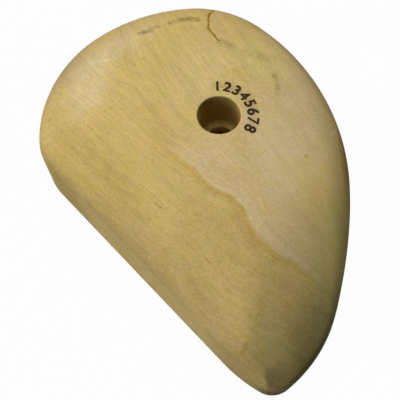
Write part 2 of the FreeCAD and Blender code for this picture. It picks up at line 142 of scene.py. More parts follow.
@dataclass
class Outline:
    """The comma-shaped outline: a straight edge and nine arcs that all turn left."""

    start: Pair = (-10.7, -92.4)
    heading: float = -53.8
    straight_round_over: float = 11.0
    closing: int = 5
    length_weight: float = 0.35
    angle_weight: float = 0.40
    turn_weight: float = 0.25
    arcs: tuple[Arc, ...] = (
        Arc(69.1, 16.1, 9.0),
        Arc(9.9, 69.3, 5.2),
        Arc(62.9, 37.2, 6.2),
        Arc(202.1, 12.9, 12.5),
        Arc(101.5, 50.1, 18.6),
        Arc(0.0, 42.1, 16.0),
        Arc(82.4, 32.7, 11.0),
        Arc(53.6, 64.4, 10.0),
        Arc(25.5, 35.2, 10.5),
    )

    def chain(self) -> Arrays:
        """Close the outline: the closing arc's radius and the straight edge are solved for.

        An arc of radius r that turns from heading g to h moves the path by
        r * (sin h - sin g, cos g - cos h). All the moves and the edge add up to nothing.

        Returns:
            The joints' places, the arcs' radii and the joints' headings in radians.
        """
        turns = np.radians([arc.turn for arc in self.arcs])
        turns[-1] = FULL_TURN - turns[:-1].sum()
        headings = math.radians(self.heading) + np.concatenate([[0.0], np.cumsum(turns)])
        steps = np.stack([np.diff(np.sin(headings)), -np.diff(np.cos(headings))], axis=1)
        radii = np.array([arc.radius for arc in self.arcs])
        edge = np.array([np.cos(headings[0]), np.sin(headings[0])])
        gap = radii @ steps
        radii[self.closing] = np.linalg.solve(np.stack([steps[self.closing], edge], axis=1), -gap)[0]
        joints = np.array(self.start) + np.concatenate([[[0.0, 0.0]], np.cumsum(radii[:, None] * steps, 0)])
        return joints, radii, headings

    def trace(self, per_arc: int = 400) -> Arrays:
        """Walk the outline in fine steps.

        Args:
            per_arc: How many steps each arc and the straight edge have.

        Returns:
            The points, their headings in radians, and how far round they lie, in joints.
        """
        joints, radii, headings = self.chain()
        share = np.arange(per_arc) / per_arc
        start = headings[:-1, None]
        turning = start + share * np.diff(headings)[:, None]
        sweep = np.stack([np.sin(turning) - np.sin(start), np.cos(start) - np.cos(turning)], axis=-1)
        arcs = joints[:-1, None] + radii[:, None, None] * sweep
        edge = joints[-1] + share[:, None] * (joints[0] - joints[-1])
        points = np.concatenate([arcs.reshape(-1, 2), edge])
        directions = np.append(turning, np.full(per_arc, headings[-1]))
        return points, directions, np.arange(len(points)) / per_arc

    def stations(self, columns: int) -> Station:
        """Choose the places of the grid's columns.

        They crowd where the outline turns most, and elsewhere follow the length of the
        outline and the angle that it takes up as seen from the bolt.

        Args:
            columns: How many columns the grid has.

        Returns:
            Each column's point of the outline, inward direction and round-over.
        """
        points, directions, places = self.trace()
        length = np.hypot(*(np.roll(points, -1, axis=0) - points).T)
        angle = np.arctan2(points[:, 1], points[:, 0])
        seen, turn = (np.abs(np.angle(np.exp(1j * (np.roll(way, -1) - way)))) for way in (angle, directions))
        parts = ((self.length_weight, length), (self.angle_weight, seen), (self.turn_weight, turn))
        weight = sum(share * part / part.sum() for share, part in parts)
        reached = np.concatenate([[0.0], np.cumsum(weight)])
        steps = np.arange(len(reached))
        where = np.interp(np.arange(columns) / columns * reached[-1], reached, steps)

        def spread(values: np.ndarray, last: float) -> np.ndarray:
            """Read values at the columns' places; they end with the last, at the start again."""
            return np.interp(where, steps, np.append(values, last))

        foot = np.stack([spread(axis, axis[0]) for axis in points.T], axis=1)
        heading = np.unwrap(directions)
        heading = spread(heading, heading[0] + FULL_TURN)
        rounds = [arc.round_over for arc in self.arcs] + [self.straight_round_over]
        place = spread(places, len(rounds))
        round_over = np.interp(place, np.arange(len(rounds) + 1), rounds + rounds[:1])
        return Station(foot, np.stack([-np.sin(heading), np.cos(heading)], axis=1), round_over)


# Shader nodes


@dataclass
class Desk:
    """A node tree, the places on a piece, and short methods for the sums of a finish."""

    tree: bpy.types.NodeTree

    @cached_property
    def place(self) -> Socket:
        """The place on the piece, in millimetres."""
        node = self.vector("SCALE", self.add("ShaderNodeTexCoord").outputs["Object"])
        node.inputs["Scale"].default_value = 1.0 / MM
        return node.outputs[0]

    @cached_property
    def plan(self) -> Socket:
        """The place without its height."""
        return self.vector("MULTIPLY", self.place, (1.0, 1.0, 0.0)).outputs[0]

    @cached_property
    def height(self) -> Socket:
        """The height over the flat back."""
        return self.dot(self.place, (0.0, 0.0, 1.0))

    @cached_property
    def radius(self) -> Socket:
        """The distance from the bolt's axis."""
        return self.length(self.plan)

    @cached_property
    def facing(self) -> Socket:
        """The direction in plan from the bolt's axis."""
        return self.vector("NORMALIZE", self.plan).outputs[0]

    def wire(self, target: Socket, value: Value) -> None:
        """Link a socket to another, or set its plain value."""
        if isinstance(value, bpy.types.NodeSocket):
            self.tree.links.new(value, target)
        else:
            target.default_value = value

    def add(self, kind: str, *values: Value, **settings: object) -> bpy.types.Node:
        """Add a node, set its options and fill its first sockets in order."""
        node = self.tree.nodes.new(kind)
        for name, setting in settings.items():
            setattr(node, name, setting)
        for target, value in zip(node.inputs, values):
            self.wire(target, value)
        return node

    def sum(self, operation: str, *values: Value, clamp: bool = False) -> Socket:
        """Work out one sum of numbers."""
        return self.add("ShaderNodeMath", *values, operation=operation, use_clamp=clamp).outputs[0]

    def product(self, *values: Value) -> Socket:
        """Multiply several numbers together."""
        return reduce(lambda result, value: self.sum("MULTIPLY", result, value), values)

    def between(self, share: Value, ends: Pair) -> Socket:
        """Go from one number to another by a share from 0 to 1."""
        return self.sum("MULTIPLY_ADD", share, ends[1] - ends[0], ends[0])

    def most(self, *values: Value) -> Socket:
        """Take the greatest of several numbers."""
        return reduce(lambda result, value: self.sum("MAXIMUM", result, value), values)

    def vector(self, operation: str, *values: Value) -> bpy.types.Node:
        """Add one sum of vectors, as a node."""
        return self.add("ShaderNodeVectorMath", *values, operation=operation)

    def dot(self, place: Value, axis: Value) -> Socket:
        """Measure a place along an axis."""
        return self.vector("DOT_PRODUCT", place, axis).outputs[1]

    def towards(self, place: Value, heading: float, rise: float = 0.0) -> Socket:
        """Measure a place along a heading in plan, in degrees, with a share of its height."""
        turn = math.radians(heading)
        return self.dot(place, (math.cos(turn), math.sin(turn), rise))

    def length(self, value: Value) -> Socket:
        """Measure a vector's length."""
        return self.vector("LENGTH", value).outputs[1]

    def join(self, x: Value, y: Value, z: Value) -> Socket:
        """Join three numbers into a vector."""
        return self.add("ShaderNodeCombineXYZ", x, y, z).outputs[0]

    def rise(self, value: Value, low: float, high: float, bottom: float = 0.0,
             top: float = 1.0) -> Socket:
        """Carry a number smoothly from bottom to top as it passes from low to high."""
        node = self.add("ShaderNodeMapRange", value, low, high, bottom, top, interpolation_type="SMOOTHSTEP")
        return node.outputs[0]

    def fall(self, value: Value, low: float, high: float, top: float = 1.0) -> Socket:
        """Carry a number smoothly from top to 0 as it passes from low to high."""
        return self.rise(value, low, high, top, 0.0)

    def window(self, value: Value, start: Pair, end: Pair) -> Socket:
        """Give 1 between two places, risen over the start's span and fallen over the end's."""
        return self.product(self.rise(value, *start), self.fall(value, *end))

    def hill(self, value: Value, centre: float, half_width: float) -> Socket:
        """Give 1 at the centre and fall smoothly to 0 at the half width on both sides."""
        off = self.sum("ABSOLUTE", self.sum("SUBTRACT", value, centre))
        return self.fall(off, 0.0, half_width)

    def noise(self, place: Value, scale: float, detail: float = 2.0, roughness: float = 0.5) -> Socket:
        """Sample cloudy noise, about 0.5 on the whole, at a place."""
        node = self.add("ShaderNodeTexNoise")
        self.wire(node.inputs["Vector"], place)
        for name, value in (("Scale", scale), ("Detail", detail), ("Roughness", roughness)):
            node.inputs[name].default_value = value
        return node.outputs[0]

    def swing(self, noise: Value, most: float) -> Socket:
        """Stretch noise until it swings about 0 by the most either way."""
        return self.rise(noise, 0.3, 0.7, -most, most)

    def curve(self, value: Value, span: Pair, points: Sequence[Pair], height: float) -> Socket:
        """Follow a curve drawn through given points.

        Args:
            value: Where along the curve to read it.
            span: The values at the curve's two ends.
            points: Pairs of a value and the curve's height there, from -height to height.
            height: The greatest height either way.

        Returns:
            The height of the curve.
        """
        node = self.add("ShaderNodeFloatCurve")
        line = node.mapping.curves[0]
        low, high = span
        for number, (where, rise) in enumerate(points):
            spot = ((where - low) / (high - low), 0.5 + 0.5 * rise / height)
            if number < 2:
                line.points[number].location = spot
            else:
                line.points.new(*spot)
        node.mapping.update()
        share = self.add("ShaderNodeMapRange", value, low, high, 0.0, 1.0).outputs[0]
        self.wire(node.inputs["Value"], share)
        level = self.sum("SUBTRACT", node.outputs[0], 0.5)
        return self.sum("MULTIPLY", level, 2.0 * height)

    def mix(self, factor: Value, first: Value, second: Value, mode: str = "MIX") -> Socket:
        """Mix two colours."""
        node = self.add("ShaderNodeMix", data_type="RGBA", blend_type=mode, clamp_factor=True)
        self.wire(node.inputs[0], factor)
        self.wire(node.inputs[6], first)
        self.wire(node.inputs[7], second)
        return node.outputs[2]

    def tint(self, factor: Value, colour: Value, shade: Tint) -> Socket:
        """Mix a display colour into a colour."""
        return self.mix(factor, colour, tone(*shade))

    def dim(self, colour: Value, light: Value) -> Socket:
        """Multiply a colour by a brightness."""
        return self.mix(1.0, colour, self.join(light, light, light), mode="MULTIPLY")

    def emboss(self, shader: bpy.types.Node, relief: Socket, strength: float, depth: float) -> None:
        """Raise a shader's surface by a relief, to a depth in millimetres."""
        bump = self.add("ShaderNodeBump")
        bump.inputs["Strength"].default_value = strength
        bump.inputs["Distance"].default_value = depth * MM
        self.wire(bump.inputs["Height"], relief)
        self.wire(shader.inputs["Normal"], bump.outputs[0])


def clear_desk(owner: Union[bpy.types.Material, bpy.types.World]) -> Desk:
    """Turn on a material's or a world's nodes and return the desk of its emptied tree."""
    owner.use_nodes = True
    owner.node_tree.nodes.clear()
    return Desk(owner.node_tree)


def new_material(name: str) -> tuple[bpy.types.Material, Desk, bpy.types.Node]:
    """Make a material with one principled shader.

    Args:
        name: Name of the material.

    Returns:
        The material, the desk of its node tree and the shader.
    """
    material = bpy.data.materials.new(name)
    desk = clear_desk(material)
    shader = desk.add("ShaderNodeBsdfPrincipled")
    desk.add("ShaderNodeOutputMaterial", shader.outputs[0])
    return material, desk, shader


def dress(piece: bpy.types.Object, material: bpy.types.Material) -> None:
    """Give a piece one material all over."""
    piece.data.materials.clear()
    piece.data.materials.append(material)


# The finishes


class Stain(Enum):
    """What a mark on the wood is, as its display colour."""

    RESIN = (140, 102, 26)
    SMUDGE = (132, 104, 54)
    SHADE = (140, 118, 70)
    PALE = (226, 208, 166)
    PORE = (122, 96, 44)


@dataclass(frozen=True)
class Mark:
    """A drawn-out mark on the face: stain, half width, strength and corners in plan."""

    stain: Stain
    half_width: float
    strength: float
    corners: tuple[Pair, ...]


@dataclass(frozen=True)
class Zone:
    """A soft-edged oval in plan: centre, half sizes, turn in degrees and strength."""

    centre: Pair
    reach: Pair
    turn: float
    strength: float


@dataclass(frozen=True)
class Patch(Zone):
    """An oval of another display colour."""

    colour: Tint


@dataclass(frozen=True)
class SideTint:
    """Another colour low down on one side, by a heading in plan, mostly painted shade and painted light.

    It comes in over the sweep's two distances along the heading, goes out over the two
    heights, and lies between the start and the end of its run along the grain.
    """

    colour: Tint
    strength: float
    heading: float
    sweep: Pair
    heights: Pair
    start: Pair = (-200.0, -190.0)
    end: Pair = (190.0, 200.0)


@dataclass(frozen=True)
class Strands:
    """Lines along the grain: how far noise is drawn out along and across it, and its swing."""

    stretch: float
    width: float
    swing: float


@dataclass(frozen=True)
class Clouds:
    """Soft noise: scale, detail, roughness and swing."""

    scale: float
    detail: float
    roughness: float
    swing: float


@dataclass(frozen=True)
class Cast:
    """Small clouds of another cast: noise scale, shift of its place, and what they multiply by."""

    scale: float
    shift: Place
    share: Place


@dataclass(frozen=True)
class WoodFinish:
    """Sanded bare alder with a flowing figure, a pale field, resin streaks and hand marks, and painted shade
    and light on its sides.
    """

    # The grain's lines, and the edge that the figure has across the face
    grain_heading: float = -54.0
    ring_slant: float = 0.25
    face_height: float = 44.0
    upper_slant: float = -0.2
    upper_rise: Pair = (-24.0, 2.0)
    waver: Pair = (-2.5, 2.5)
    waver_scale: float = 0.035
    edge_span: Pair = (-60.0, 100.0)
    edge_height: float = 12.0
    edge_points: tuple[Pair, ...] = (
        (-60.0, -3.0), (-30.0, -1.5), (-8.0, -0.2), (5.0, 1.6), (12.0, 2.3), (18.0, 2.1),
        (25.0, 3.5), (31.0, 6.4), (36.0, 6.3), (41.0, 4.2), (45.0, 2.7), (50.0, 1.4),
        (56.0, 1.3), (63.0, 3.1), (70.0, 4.8), (100.0, 8.0),
    )
    # The broad fields, and where along the grain they start and end
    yellow: Tint = (199, 173, 109)
    pale_field: Tint = (203, 179, 130)
    pale_band: Tint = (206, 183, 139)
    edge_line: Tint = (188, 155, 86)
    field_level: float = -26.0
    field_start: Pair = (-5.0, 8.0)
    field_end: Pair = (56.0, 92.0)
    field_rise: Pair = (-1.4, 2.0)
    field_fall: Pair = (16.0, 46.0)
    field_strength: float = 0.9
    band_fall: Pair = (3.0, 10.0)
    band_strength: float = 0.6
    ragged: Pair = (-0.7, 0.7)
    ragged_scale: float = 0.5
    line_start: Pair = (-14.0, 8.0)
    line_end: Pair = (50.0, 78.0)
    line_level: float = -1.3
    line_width: float = 2.9
    line_strengths: Pair = (0.35, 0.8)
    line_stretch: float = 0.06
    # Ovals of other tones in the wood; the three marked below are painted shade and painted light
    patches: tuple[Patch, ...] = (
        Patch((-54, 28), (15, 24), -10, 0.8, (210, 188, 141)),
        Patch((4, 16), (34, 34), -40, 0.6, (209, 186, 130)),
        Patch((-42, 44), (30, 10), 28, 0.55, (208, 189, 146)),
        Patch((34, 4), (16, 48), 12, 0.8, (199, 177, 134)),
        Patch((22, 26), (13, 22), 40, 0.6, (200, 184, 114)),
        Patch((-13, -56), (18, 34), 22, 0.55, (187, 161, 100)),
        Patch((22, -17), (18, 32), 4, 0.7, (210, 189, 146)),
        Patch((12.5, -3), (4.5, 9), 0, 0.6, (212, 184, 148)),
        Patch((9, 20), (10, 4.5), -24, 0.5, (206, 174, 96)),
        # Painted shade: a warm dark strip along the right wall and its round-over
        Patch((51.6, -24), (4.6, 42), -2, 0.65, (150, 106, 38)),
        Patch((4, -51), (4.5, 15), 18, 0.45, (186, 150, 94)),
        Patch((-24, -1), (10, 22), 24, 0.25, (190, 158, 100)),
        Patch((46, -66), (26, 50), -12, 0.75, (181, 168, 103)),
        Patch((40, -82), (12, 18), -30, 0.35, (160, 138, 108)),
        # Painted shade: the left side darkened
        Patch((-54, -20), (22, 44), 36, 0.8, (183, 158, 94)),
        Patch((-28.5, -61.5), (9, 60), 36, 0.65, (178, 153, 100)),
        Patch((-14, -86.5), (8.5, 27), 44, 0.6, (166, 141, 98)),
        Patch((27, -92), (18, 32), -38, 0.6, (146, 140, 88)),
        # Painted light: the face near the tip lightened
        Patch((10, -97), (12, 24), 0, 0.65, (202, 185, 122)),
    )
    # The dark end grain right of the tip's crease: where its edge, its fade and its top lie
    tip_tint: Tint = (128, 100, 78)
    tip_strength: float = 0.36
    tip_edge: Pair = (5.0, 6.0)
    tip_fade: Pair = (8.0, 19.0)
    tip_top: Pair = (-103.5, -99.0)
    side_tints_and_painted_light: tuple[SideTint, ...] = (
        # A greyer, darker tint low on the top side
        SideTint((138, 120, 99), 0.85, 80, (2, 34), (26, 38)),
        # Painted shade low on the right wall
        SideTint((102, 98, 60), 0.3, -30, (46, 57), (4, 20)),
        # Painted light on the lower left wall and its round-over
        SideTint((219, 192, 127), 0.85, -143.8, (52, 60), (25, 39), (-34, -8), (54, 80)),
        # Painted shade along the foot of the tip's wall
        SideTint((88, 79, 42), 0.75, -60, (90, 96), (3, 14)),
    )
    marks: tuple[Mark, ...] = (
        Mark(Stain.RESIN, 0.8, 0.9, ((4.6, 60), (1.8, 56), (0.7, 47.6), (4.4, 39.4))),
        Mark(Stain.SHADE, 3, 0.4, ((5.2, 38.6), (9.6, 35.4))),
        Mark(Stain.SHADE, 3.4, 0.28, ((15, 31.5), (26, 27.5))),
        Mark(Stain.SMUDGE, 2, 0.7, ((-29.3, 50.2), (-25.6, 50.9), (-21.6, 52.4))),
        Mark(Stain.SMUDGE, 2.4, 0.65, ((-15.4, 53.8), (-11.1, 55), (-6.8, 54.8), (-3.6, 53.6))),
        Mark(Stain.SHADE, 1.7, 0.5, ((25.6, 19), (26.6, 13.5), (25.6, 8.5))),
        Mark(Stain.PALE, 0.7, 0.6, ((45.4, -11), (48.2, -7.6))),
        Mark(Stain.SMUDGE, 0.8, 0.5, ((33, -21.2), (33.4, -21.8))),
        Mark(Stain.SMUDGE, 0.7, 0.5, ((-72.6, 14.6), (-71.6, 15.8))),
        Mark(Stain.PORE, 0.35, 0.7, ((-30, -35), (-27.5, -37.5))),
        Mark(Stain.PORE, 0.35, 0.55, ((-33.6, -41.4), (-32.4, -40.4))),
        Mark(Stain.PORE, 0.4, 0.5, ((-17.1, -49), (-16.7, -50))),
        Mark(Stain.PORE, 0.45, 0.6, ((-12.6, -60), (-10.9, -62))),
        Mark(Stain.PORE, 0.5, 0.5, ((4.6, -83.2), (5.8, -83))),
        Mark(Stain.SHADE, 1.3, 0.35, ((-0.5, -93), (-2.8, -96.2))),
    )
    casts: tuple[Cast, ...] = (
        Cast(0.20, (0, 0, 0), (0.99, 0.99, 0.88)),
        Cast(0.24, (70, 30, 10), (1.01, 1, 1.09)),
        Cast(0.18, (-40, 90, 25), (1.015, 0.985, 0.985)),
        Cast(0.15, (20, -60, -35), (0.97, 1, 0.94)),
    )
    # The fine figure, where its streaks stand out most, and where all of it is faint
    bands: Strands = Strands(80.0, 4.2, 0.04)
    streaks: Strands = Strands(30.0, 1.1, 0.045)
    fibres: Strands = Strands(6.0, 0.45, 0.05)
    pores: Strands = Strands(2.6, 0.45, 0.35)
    mottle: Clouds = Clouds(0.16, 4.0, 0.65, 0.035)
    speckle: Clouds = Clouds(0.9, 3.0, 0.6, 0.08)
    bold_grain: Zone = Zone((-30.0, 16.0), (50.0, 64.0), -30.0, 1.0)
    calm_field: Zone = Zone((36.0, -14.0), (36.0, 74.0), 0.0, 1.0)
    bold_streaks: Pair = (0.9, 1.35)
    bold_speckle: Pair = (1.0, 0.75)
    calm_share: Pair = (1.0, 0.7)
    pore_edges: Pair = (0.68, 0.78)
    roughness: Pair = (1.12, 0.62)
    mark_unevenness: float = 1.1
    # The scorch round the burnt scale, and the drilled hole
    scorched: Tint = (96, 62, 34)
    scorch_strength: float = 0.22
    scorch_radius: float = 14.3
    scorch_width: float = 3.6
    scorch_middle: float = 30.0
    scorch_sides: Pair = (72.0, 60.0)
    drilled: Tint = (202, 175, 106)
    bolt_bore: Tint = (160, 116, 44)
    ring_light: Pair = (0.7, 1.2)
    # Painted shade on the counterbore's far wall: brightness from the near side to the far side
    far_wall_painted_shade: Pair = (1.0, 0.58)
    bore_edges: Pair = (9.1, 9.4)
    bolt_edges: Pair = (5.6, 6.0)
    bump_height: float = 0.03

    def make(self) -> bpy.types.Material:
        """Build the wood's material."""
        material, desk, shader = new_material("sanded_alder")
        painter = WoodPainter(desk.tree, self)
        light, pores = painter.figure()
        desk.wire(shader.inputs["Base Color"], desk.dim(painter.layers(pores), light))
        desk.wire(shader.inputs["Roughness"], desk.between(light, self.roughness))
        shader.inputs["Specular IOR Level"].default_value = 0.02
        relief = desk.sum("SUBTRACT", desk.product(light, 6.0), pores)
        desk.emboss(shader, relief, 0.35, self.bump_height)
        return material


@dataclass
class WoodPainter(Desk):
    """The wood's desk: it knows the grain, and lays each colour over the colour so far."""

    look: WoodFinish
    colour: Value = (0.0, 0.0, 0.0, 1.0)

    def lay(self, mask: Value, shade: Tint) -> None:
        """Lay a display colour over the colour so far."""
        self.colour = self.tint(mask, self.colour, shade)

    @cached_property
    def along(self) -> Socket:
        """The distance along the grain."""
        return self.towards(self.place, self.look.grain_heading)

    @cached_property
    def flow(self) -> Socket:
        """The distance across the grain, whose lines follow the figure's edge.

        It is the plan distance square to the grain, less the edge's own run near the
        edge, and less a steady slant far above it, so that the lines fan out there. Slow
        noise lets them waver, and a little of the depth slants the growth rings.
        """
        look = self.look
        across = self.towards(self.place, look.grain_heading + 90.0, look.ring_slant)
        across = self.sum("SUBTRACT", across, look.ring_slant * look.face_height)
        edge = self.curve(self.along, look.edge_span, look.edge_points, look.edge_height)
        slant = self.sum("MULTIPLY", self.along, look.upper_slant)
        near = self.fall(across, *look.upper_rise)
        run = self.sum("MULTIPLY_ADD", near, self.sum("SUBTRACT", edge, slant), slant)
        waver = self.between(self.noise(self.place, look.waver_scale), look.waver)
        return self.sum("SUBTRACT", self.sum("ADD", across, waver), run)

    def layers(self, pores: Socket) -> Socket:
        """Lay all the colours in order, from the broad fields to the bolt's hole."""
        self.lay_fields()
        self.lay_tints()
        self.lay_marks()
        self.tinge()
        self.lay(self.product(pores, self.look.pores.swing), Stain.PORE.value)
        self.lay_scorch()
        self.lay_bores()
        return self.colour

    def lay_fields(self) -> None:
        """Lay the broad fields: yellow below the figure's edge, the pale band and field
        above it, and the brown line along it."""
        look = self.look
        ragged = self.between(self.noise(self.place, look.ragged_scale, 3.0), look.ragged)
        level = self.sum("SUBTRACT", self.sum("ADD", self.flow, ragged), look.field_level)
        window = self.window(self.along, look.field_start, look.field_end)
        self.colour = tone(*look.yellow)
        for shade, end, strength in ((look.pale_field, look.field_fall, look.field_strength),
                                     (look.pale_band, look.band_fall, look.band_strength)):
            self.lay(self.product(self.window(level, look.field_rise, end), window, strength), shade)
        uneven = self.noise(self.join(self.product(self.along, look.line_stretch), 0.0, 0.0), 1.0, 1.0)
        uneven = self.rise(uneven, 0.25, 0.6, *look.line_strengths)
        window = self.window(self.along, look.line_start, look.line_end)
        self.lay(self.product(self.hill(level, look.line_level, look.line_width), window, uneven),
                 look.edge_line)

    def zone(self, zone: Zone) -> Socket:
        """Give a zone's strength inside it, falling to 0 over its rim, which is at distance
        1 when the plan offsets are divided by the half sizes."""
        wide, tall = zone.reach
        cosine, sine = math.cos(math.radians(zone.turn)), math.sin(math.radians(zone.turn))
        offset = self.vector("SUBTRACT", self.place, (*zone.centre, 0.0)).outputs[0]
        across = self.dot(offset, (cosine / wide, sine / wide, 0.0))
        along = self.dot(offset, (-sine / tall, cosine / tall, 0.0))
        return self.fall(self.length(self.join(across, along, 0.0)), 0.25, 1.0, zone.strength)

    def lay_tints(self) -> None:
        """Lay the patches, a few of which are painted shade and painted light, the dark end grain at the tip,
        and the colours low on the sides, mostly painted shade and painted light.
        """
        look = self.look
        for patch in look.patches:
            self.lay(self.zone(patch), patch.colour)
        x, y = (self.dot(self.place, axis) for axis in ((1, 0, 0), (0, 1, 0)))
        tip = self.product(self.window(x, look.tip_edge, look.tip_fade), self.fall(y, *look.tip_top))
        self.lay(self.product(tip, look.tip_strength), look.tip_tint)
        # Painted shade low on the right and at the tip, painted light on the lower left, and a grey tint on
        # the top
        for side in look.side_tints_and_painted_light:
            low = self.product(self.rise(self.towards(self.place, side.heading), *side.sweep),
                               self.fall(self.height, *side.heights))
            run = self.window(self.along, side.start, side.end)
            self.lay(self.product(low, run, side.strength), side.colour)

    def line(self, plan: Socket, mark: Mark) -> Socket:
        """Give a mark's strength on its line, falling to 0 at its half width.

        The distance is taken to the nearest point of each stretch between two corners.

        Args:
            plan: The place in plan, made uneven by noise.
            mark: The mark.

        Returns:
            The mask.
        """
        masks = []
        for start, end in zip(mark.corners, mark.corners[1:]):
            span = (end[0] - start[0], end[1] - start[1], 0.0)
            square = span[0] ** 2 + span[1] ** 2
            offset = self.vector("SUBTRACT", plan, (*start, 0.0)).outputs[0]
            share = self.sum("ADD", self.dot(offset, [part / square for part in span]), 0.0, clamp=True)
            step = self.vector("SCALE", span)
            self.wire(step.inputs["Scale"], share)
            distance = self.length(self.vector("SUBTRACT", offset, step.outputs[0]).outputs[0])
            masks.append(self.fall(distance, 0.15 * mark.half_width, mark.half_width, mark.strength))
        return self.most(*masks)

    def lay_marks(self) -> None:
        """Lay the marks: noise makes their lines uneven, and breaks up all but the resin."""
        cloud = self.add("ShaderNodeTexNoise")
        self.wire(cloud.inputs["Vector"], self.place)
        cloud.inputs["Scale"].default_value = 0.9
        shift = self.vector("SUBTRACT", cloud.outputs["Color"], (0.5, 0.5, 0.5)).outputs[0]
        size = self.look.mark_unevenness
        shift = self.vector("MULTIPLY", shift, (size, size, 0.0)).outputs[0]
        plan = self.vector("ADD", self.plan, shift).outputs[0]
        broken = self.rise(self.noise(self.place, 0.42), 0.36, 0.6, 0.4, 1.0)
        for mark in self.look.marks:
            whole = mark.stain is Stain.RESIN
            self.lay(self.product(self.line(plan, mark), 1.0 if whole else broken), mark.stain.value)

    def tinge(self) -> None:
        """Let the colour wander a little in small clouds: to yellow, pale, rosy and greenish."""
        for cast in self.look.casts:
            spot = self.vector("ADD", self.place, cast.shift).outputs[0]
            share = self.rise(self.noise(spot, cast.scale), 0.42, 0.68)
            other = self.mix(1.0, self.colour, (*cast.share, 1.0), mode="MULTIPLY")
            self.colour = self.mix(share, self.colour, other)

    def lay_scorch(self) -> None:
        """Lay the soft scorch round the burnt scale: a ring round the bolt over its sweep."""
        look = self.look
        ring = self.hill(self.radius, look.scorch_radius, look.scorch_width)
        sides = (math.cos(math.radians(side)) for side in look.scorch_sides)
        open_side = self.rise(self.towards(self.facing, look.scorch_middle), *sides)
        self.lay(self.product(ring, open_side, look.scorch_strength), look.scorched)

    def lay_bores(self) -> None:
        """Lay the counterbore's colour, with the cutter's faint rings and painted shade on its far wall, and
        the bolt hole's.
        """
        rings = self.noise(self.join(0.0, 0.0, self.product(self.height, 1.1)), 1.0, 1.0)
        rings = self.rise(rings, 0.35, 0.65, *self.look.ring_light)
        # Painted shade: the far wall, towards +y, is darkened
        far = self.rise(self.dot(self.facing, (0.0, 1.0, 0.0)), 0.2, 0.9, *self.look.far_wall_painted_shade)
        drilled = self.dim(tone(*self.look.drilled), self.product(rings, far))
        self.colour = self.mix(self.fall(self.radius, *self.look.bore_edges), self.colour, drilled)
        self.lay(self.fall(self.radius, *self.look.bolt_edges), self.look.bolt_bore)

    def drawn(self, strands: Strands, detail: float = 2.0) -> Socket:
        """Sample noise whose place is pressed together along the grain, and so drawn out."""
        along = self.product(self.along, 1.0 / strands.stretch)
        across = self.product(self.flow, 1.0 / strands.width)
        spot = self.join(along, across, self.product(self.height, 2.0 / strands.stretch))
        return self.noise(spot, 1.0, detail, 0.6)

    def figure(self) -> tuple[Socket, Socket]:
        """Draw the fine figure: growth bands, streaks, fibres, mottling and pores.

        Returns:
            A brightness to multiply the colour by, and the pores' mask.
        """
        look = self.look
        bands, streaks, fibres = (self.swing(self.drawn(strands), strands.swing)
                                  for strands in (look.bands, look.streaks, look.fibres))
        mottle, speckle = (
            self.swing(self.noise(self.place, cloud.scale, cloud.detail, cloud.roughness), cloud.swing)
            for cloud in (look.mottle, look.speckle))
        bold = self.zone(look.bold_grain)
        streaks = self.product(streaks, self.between(bold, look.bold_streaks))
        speckle = self.product(speckle, self.between(bold, look.bold_speckle))
        total = bands
        for part in (streaks, fibres, mottle, speckle):
            total = self.sum("ADD", total, part)
        calm = self.between(self.zone(look.calm_field), look.calm_share)
        pores = self.rise(self.drawn(look.pores, 1.0), *look.pore_edges)
        return self.sum("MULTIPLY_ADD", total, calm, 1.0), pores


@dataclass(frozen=True)
class CharFinish:
    """Wood burnt dark by a hot iron."""

    dark: Tint = (42, 26, 10)
    light: Tint = (80, 54, 26)

    def make(self) -> bpy.types.Material:
        """Build the char's material: nearly black, with browner specks."""
        material, desk, shader = new_material("burnt_wood")
        specks = desk.rise(desk.noise(desk.place, 1.2, 3.0), 0.45, 0.75)
        desk.wire(shader.inputs["Base Color"], desk.tint(specks, tone(*self.dark), self.light))
        desk.wire(shader.inputs["Roughness"], desk.rise(specks, 0.0, 1.0, 0.85, 0.6))
        shader.inputs["Specular IOR Level"].default_value = 0.2
        return material


@dataclass(frozen=True)
class ZincFinish:
    """Dull yellow zinc plate on a turned steel washer."""

    plate: Tint = (172, 144, 66)
    worn: Tint = (148, 120, 52)

    def make(self) -> bpy.types.Material:
        """Build the plate's material: fine turning rings, and dull patches in the plate."""
        material, desk, shader = new_material("yellow_zinc")
        rings = desk.noise(desk.join(desk.radius, 0.0, 0.0), 6.0)
        dull = desk.rise(desk.noise(desk.place, 0.35, 3.0), 0.35, 0.7)
        desk.wire(shader.inputs["Base Color"], desk.tint(dull, tone(*self.plate), self.worn))
        desk.wire(shader.inputs["Roughness"], desk.rise(rings, 0.3, 0.7, 0.48, 0.64))
        shader.inputs["Metallic"].default_value = 0.35
        shader.inputs["Specular IOR Level"].default_value = 0.25
        desk.emboss(shader, rings, 0.3, 0.02)
        return material


# The sub-assemblies


